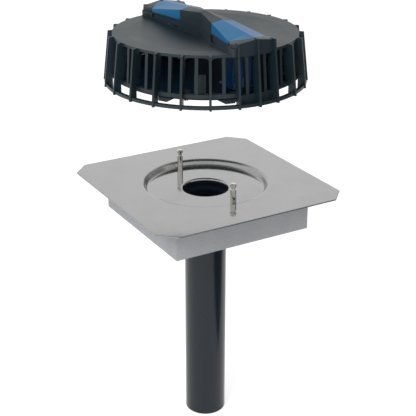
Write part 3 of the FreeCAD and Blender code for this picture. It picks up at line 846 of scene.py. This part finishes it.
@dataclass
class Strainer:
    """The strainer's mouldings, with the levels above its feet between which painted shade darkens
    their colour.
    """

    disc_under: float = 0.0083
    disc_top: float = 0.0113
    shoulder: float = 0.0605
    ledge: float = 0.0704

    def finishes(self) -> dict[Slot, bpy.types.Material]:
        """Make the finishes of this assembly.

        Returns:
            The finish of each slot.
        """
        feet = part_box("strainer_grate")[0].z
        # Painted shade: the disc's top, seen through the windows, darker than the rest of the disc
        shaded_disc_band = ShadeBand(feet + self.disc_under, feet + self.disc_top, tone(20, 40, 58))
        # Painted shade: the latch's legs inside the strainer and its cheeks in the cover's slots
        # take darker blues
        shaded_legs = ShadeBand(feet, feet + self.shoulder, tone(16, 68, 118))
        shaded_cheeks = ShadeBand(feet + self.shoulder, feet + self.ledge, tone(30, 50, 68))
        grate = MouldedPlastic("grate_plastic", tone(23, 38, 44), light_colour=tone(27, 42, 48),
                               roughness=0.41, refraction=1.435)
        disc = MouldedPlastic("disc_plastic", tone(70, 77, 82), light_colour=tone(76, 83, 88),
                              roughness=0.6, refraction=1.05, shade_bands=(shaded_disc_band,))
        latch = MouldedPlastic("latch_plastic", tone(16, 101, 150), light_colour=tone(21, 106, 155),
                               roughness=0.38, refraction=1.38, shade_bands=(shaded_legs, shaded_cheeks))
        return {
            Slot.GRATE_PLASTIC: grate.material(),
            Slot.DISC_PLASTIC: disc.material(),
            Slot.LATCH_PLASTIC: latch.material(),
        }


@dataclass
class LatchSpring:
    """Coil spring under one latch cap, wound at the length of its solid."""

    side: Side
    wire_radius: float = 0.00045
    turns: int = 9
    wire_sides: int = 8
    steps: int = 28
    weld_share: float = 0.02
    cap_travel: float = 0.0019

    @property
    def node(self) -> str:
        """Name of the solid that this spring stands for."""
        return f"latch_spring_{self.side.word}"

    def build(self, material: bpy.types.Material) -> bpy.types.Object:
        """Coil the wire, close its ends and seat it where the solid is.

        Args:
            material: The spring's finish.

        Returns:
            The finished spring.
        """
        low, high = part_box(self.node)
        middle = (low + high) / 2
        coil_radius = (high.x - low.x) / 2 - self.wire_radius
        bottom = low.z + self.wire_radius
        rise = high.z - low.z - 2 * self.wire_radius
        deselect_all()
        bpy.ops.mesh.primitive_circle_add(vertices=self.wire_sides, radius=self.wire_radius,
                                          fill_type="NGON", location=(coil_radius, 0, 0),
                                          rotation=(math.pi / 2, 0, 0))
        spring = bpy.context.object
        spring.name = f"coil_{self.side.word}"
        bpy.ops.object.transform_apply(location=True, rotation=True, scale=True)
        screw = spring.modifiers.new("coil", "SCREW")
        screw.axis = "Z"
        screw.angle = 2 * math.pi
        screw.steps = self.steps
        screw.render_steps = self.steps
        screw.iterations = self.turns
        screw.screw_offset = rise / self.turns
        bpy.ops.object.modifier_apply(modifier=screw.name)
        bpy.ops.object.mode_set(mode="EDIT")
        bpy.ops.mesh.select_all(action="SELECT")
        bpy.ops.mesh.remove_doubles(threshold=self.wire_radius * self.weld_share)
        bpy.ops.mesh.delete_loose()
        bpy.ops.mesh.select_all(action="SELECT")
        bpy.ops.mesh.fill_holes(sides=self.wire_sides)
        bpy.ops.mesh.normals_make_consistent(inside=False)
        bpy.ops.object.mode_set(mode="OBJECT")
        bpy.ops.object.shade_smooth()
        spring.location = (middle.x, middle.y, bottom)
        rest_in_place(spring)
        dress(spring, material)
        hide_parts(self.node)
        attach(spring, "strainer")
        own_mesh(spring)
        return spring


@dataclass
class LatchTray:
    """Tray in the disc's window under one latch, which the latch's legs dip into.

    Its rim and floor are heights above the strainer's feet.
    """

    side: Side
    half_width: float = 0.0213
    inner: float = 0.0807
    outer: float = 0.0998
    rim_height: float = 0.0105
    floor_height: float = 0.0006
    wall: float = 0.0008

    def build(self, material: bpy.types.Material) -> bpy.types.Object:
        """Shape the tray from a block and set it into the window.

        Args:
            material: The tray's finish.

        Returns:
            The finished tray.
        """
        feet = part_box("strainer_grate")[0].z
        size = Vector((2 * self.half_width, self.outer - self.inner,
                       self.rim_height - self.floor_height))
        place = Vector((0, self.side.value * (self.inner + self.outer) / 2,
                        feet + (self.rim_height + self.floor_height) / 2))
        tray = block(f"tray_{self.side.word}", place, size)
        edit_top(tray)
        bpy.ops.mesh.inset(thickness=self.wall)
        bpy.ops.mesh.extrude_region_move(
            TRANSFORM_OT_translate={"value": (0, 0, self.wall - size.z)})
        bpy.ops.object.mode_set(mode="OBJECT")
        dress(tray, material)
        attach(tray, "strainer")
        return tray


@dataclass
class Baffle:
    """Tapered strip with rounded edges at the disc's rim, which keeps the cage dark.

    It stands towards +X. Its foot and top are heights above the strainer's feet.
    """

    distance: float = 0.1005
    low_end: float = -0.0318
    high_end: float = 0.0218
    foot: float = 0.011
    top: float = 0.0225
    thickness: float = 0.0015
    top_share: float = 0.6
    end_share: float = 0.97
    rounding: float = 0.0003
    rounding_steps: int = 2

    def build(self, material: bpy.types.Material) -> bpy.types.Object:
        """Shape the strip and stand it on the disc.

        Args:
            material: The strip's finish.

        Returns:
            The finished strip.
        """
        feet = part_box("strainer_grate")[0].z
        size = Vector((self.thickness, self.high_end - self.low_end, self.top - self.foot))
        place = Vector((self.distance, (self.low_end + self.high_end) / 2,
                        feet + (self.foot + self.top) / 2))
        baffle = block("baffle", place, size)
        edit_top(baffle)
        bpy.ops.transform.resize(value=(self.top_share, self.end_share, 1))
        bpy.ops.mesh.select_all(action="SELECT")
        bpy.ops.mesh.bevel(offset=self.rounding, segments=self.rounding_steps, affect="EDGES")
        bpy.ops.object.mode_set(mode="OBJECT")
        dress(baffle, material)
        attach(baffle, "strainer")
        return baffle


@dataclass
class Studio:
    """Camera, floor, card, world and lamp of the picture, with angles in degrees."""

    picture_side: float = 416.0
    focal_pixels: float = 1043.898
    sensor: float = 36.0
    azimuth: float = -30.313
    elevation: float = 23.751
    roll: float = 0.119
    distance: float = 1.397756
    target_side: float = 0.003342
    target_height: float = 0.311014
    clip_start: float = 0.05
    clip_end: float = 60.0
    floor_radius: float = 9.0
    floor_sides: int = 96
    floor_colour: Colour = tone(228, 228, 228)
    floor_glow: float = 0.62
    ambient: float = 0.56
    zenith: float = 0.35
    zenith_low: float = 0.55
    zenith_high: float = 0.85
    dark_azimuth: float = -5.0
    dark_start: float = 0.74
    dark_end: float = 0.8
    dark_side: float = 0.22
    card_corner: float = 0.14
    card_lift: float = 0.002
    card_side: float = 5.6
    # Painted shadow: the glow of the card that stands for the drain's shadow on the floor in
    # reflections
    shadow_card_colour: Colour = tone(96, 104, 116)
    key_place: Triple = (-1.66, -1.05, 1.9)
    key_aim: Triple = (0.0, 0.0, 0.35)
    key_side: float = 1.0
    key_power: float = 27.0

    def level(self) -> Vector:
        """The level direction to the right of the camera, before its roll."""
        turn = math.radians(self.azimuth)
        return Vector((math.cos(turn), math.sin(turn), 0))

    def aim(self) -> tuple[Vector, Vector, Vector]:
        """Directions of the camera.

        Returns:
            Right, up and back.
        """
        turn = math.radians(self.azimuth)
        tilt = math.radians(self.elevation)
        roll = math.radians(self.roll)
        back = Vector((math.sin(turn) * math.cos(tilt), -math.cos(turn) * math.cos(tilt),
                       math.sin(tilt)))
        level = self.level()
        upright = back.cross(level)
        right = level * math.cos(roll) + upright * math.sin(roll)
        up = upright * math.cos(roll) - level * math.sin(roll)
        return right, up, back

    def camera(self) -> None:
        """Set up the camera where the photograph was taken from."""
        right, up, back = self.aim()
        target = self.level() * self.target_side + Vector((0, 0, self.target_height))
        lens = bpy.data.cameras.new("picture_camera")
        lens.sensor_width = self.sensor
        lens.lens = self.focal_pixels * self.sensor / self.picture_side
        lens.clip_start = self.clip_start
        lens.clip_end = self.clip_end
        camera = bpy.data.objects.new("picture_camera", lens)
        bpy.context.scene.collection.objects.link(camera)
        turned = Matrix((right, up, back)).transposed().to_4x4()
        camera.matrix_world = Matrix.Translation(target + back * self.distance) @ turned
        bpy.context.scene.camera = camera

    def floor(self) -> None:
        """Lay a pale floor that reads white to the camera and keeps soft shadows."""
        deselect_all()
        bpy.ops.mesh.primitive_circle_add(vertices=self.floor_sides, radius=self.floor_radius,
                                          fill_type="NGON", location=(0, 0, 0))
        floor = bpy.context.object
        floor.name = "floor"
        material, graph = new_material("pale_floor")
        seen = self._seen_rays(graph)
        diffuse = graph.add("ShaderNodeBsdfDiffuse", values={"Color": self.floor_colour}).out(0)
        glow = graph.add("ShaderNodeEmission",
                         values={"Color": WHITE, "Strength": self.floor_glow}).out(0)
        lit = graph.add("ShaderNodeAddShader", values={0: diffuse, 1: glow}).out(0)
        shader = graph.add("ShaderNodeMixShader", values={0: seen, 1: diffuse, 2: lit}).out(0)
        graph.add("ShaderNodeOutputMaterial", values={"Surface": shader})
        dress(floor, material)

    def card(self) -> None:
        """Lay a dark glowing card on the floor, on the picture's right, that only reflections show:
        a painted shadow of the drain on the floor.
        """
        middle = self.card_corner + self.card_side / 2
        deselect_all()
        bpy.ops.mesh.primitive_plane_add(size=self.card_side,
                                         location=(middle, -middle, self.card_lift))
        card = bpy.context.object
        card.name = "shadow_card"
        material, graph = new_material("shadow_card")
        glow = graph.add("ShaderNodeEmission",
                         values={"Color": self.shadow_card_colour, "Strength": 1.0}).out(0)
        graph.add("ShaderNodeOutputMaterial", values={"Surface": glow})
        dress(card, material)
        card.visible_camera = False
        card.visible_diffuse = False
        card.visible_shadow = False

    @staticmethod
    def _seen_rays(graph: Graph) -> Socket:
        """Find the rays that show the white surround.

        Args:
            graph: The graph to add the nodes to.

        Returns:
            One for camera, glossy and transmission rays, otherwise zero.
        """
        rays = graph.add("ShaderNodeLightPath")
        seen = rays.out("Is Camera Ray") + rays.out("Is Glossy Ray")
        return (seen + rays.out("Is Transmission Ray")).clamped()

    def world(self) -> None:
        """Make a white surround that lights the drain at a plain level.

        To the camera it is plain white. Reflections see it dimmer overhead and on one side.
        """
        world = bpy.data.worlds.new("studio")
        world.use_nodes = True
        bpy.context.scene.world = world
        graph = Graph(world.node_tree)
        soft = graph.add("ShaderNodeBackground",
                         values={"Color": WHITE, "Strength": self.ambient}).out(0)
        side, depth, height = graph.parts(graph.add("ShaderNodeTexCoord").out("Generated"))
        turn = math.radians(self.dark_azimuth)
        toward = side * math.cos(turn) + depth * math.sin(turn)
        overhead = height.ramped(self.zenith_low, self.zenith_high)
        aside = toward.ramped(self.dark_start, self.dark_end)
        strength = 1.0 - overhead * (1.0 - self.zenith)
        strength = strength * (1.0 - aside * (1.0 - self.dark_side))
        strength = strength.larger(graph.add("ShaderNodeLightPath").out("Is Camera Ray"))
        bright = graph.add("ShaderNodeBackground",
                           values={"Color": WHITE, "Strength": strength}).out(0)
        seen = self._seen_rays(graph)
        shader = graph.add("ShaderNodeMixShader", values={0: seen, 1: soft, 2: bright}).out(0)
        graph.add("ShaderNodeOutputWorld", values={"Surface": shader})

    def lamp(self) -> None:
        """Hang the square key lamp up on the left, since the block's left side is the lighter."""
        light = bpy.data.lights.new("key_lamp", "AREA")
        light.shape = "SQUARE"
        light.size = self.key_side
        light.energy = self.key_power
        lamp = bpy.data.objects.new("key_lamp", light)
        bpy.context.scene.collection.objects.link(lamp)
        place = Vector(self.key_place)
        lamp.rotation_mode = "QUATERNION"
        lamp.location = place
        lamp.rotation_quaternion = (Vector(self.key_aim) - place).to_track_quat("-Z", "Y")
        lamp.visible_glossy = False

    def build(self) -> None:
        """Set up the whole studio."""
        bpy.context.scene.view_settings.view_transform = "Standard"
        self.camera()
        self.floor()
        self.card()
        self.world()
        self.lamp()


def dress_nodes(finishes: dict[Slot, bpy.types.Material]) -> None:
    """Give every solid the finish of its slot.

    Args:
        finishes: The finish of each slot.
    """
    for row in frame["record"]["subparts"]:
        node = frame["nodes"][row["node"]]
        dress(node, finishes[Slot(row["material_slot"])])
        LOG.info("dressed %s as %s", row["node"], row["material_slot"])


def main() -> None:
    """Dress the drain, wind its springs, set in its trays and strip, and set up the studio."""
    logging.basicConfig(level=logging.INFO, format="%(name)s: %(message)s")
    deselect_all()
    finishes = {**DrainBody().finishes(), **Strainer().finishes()}
    dress_nodes(finishes)
    for side in Side:
        spring = LatchSpring(side).build(finishes[Slot.STUD_STEEL])
        LOG.info("wound %s", spring.name)
        tray = LatchTray(side).build(finishes[Slot.DISC_PLASTIC])
        LOG.info("set in %s", tray.name)
    baffle = Baffle().build(finishes[Slot.DISC_PLASTIC])
    LOG.info("set in %s", baffle.name)
    Studio().build()


if __name__ == "__main__":
    main()
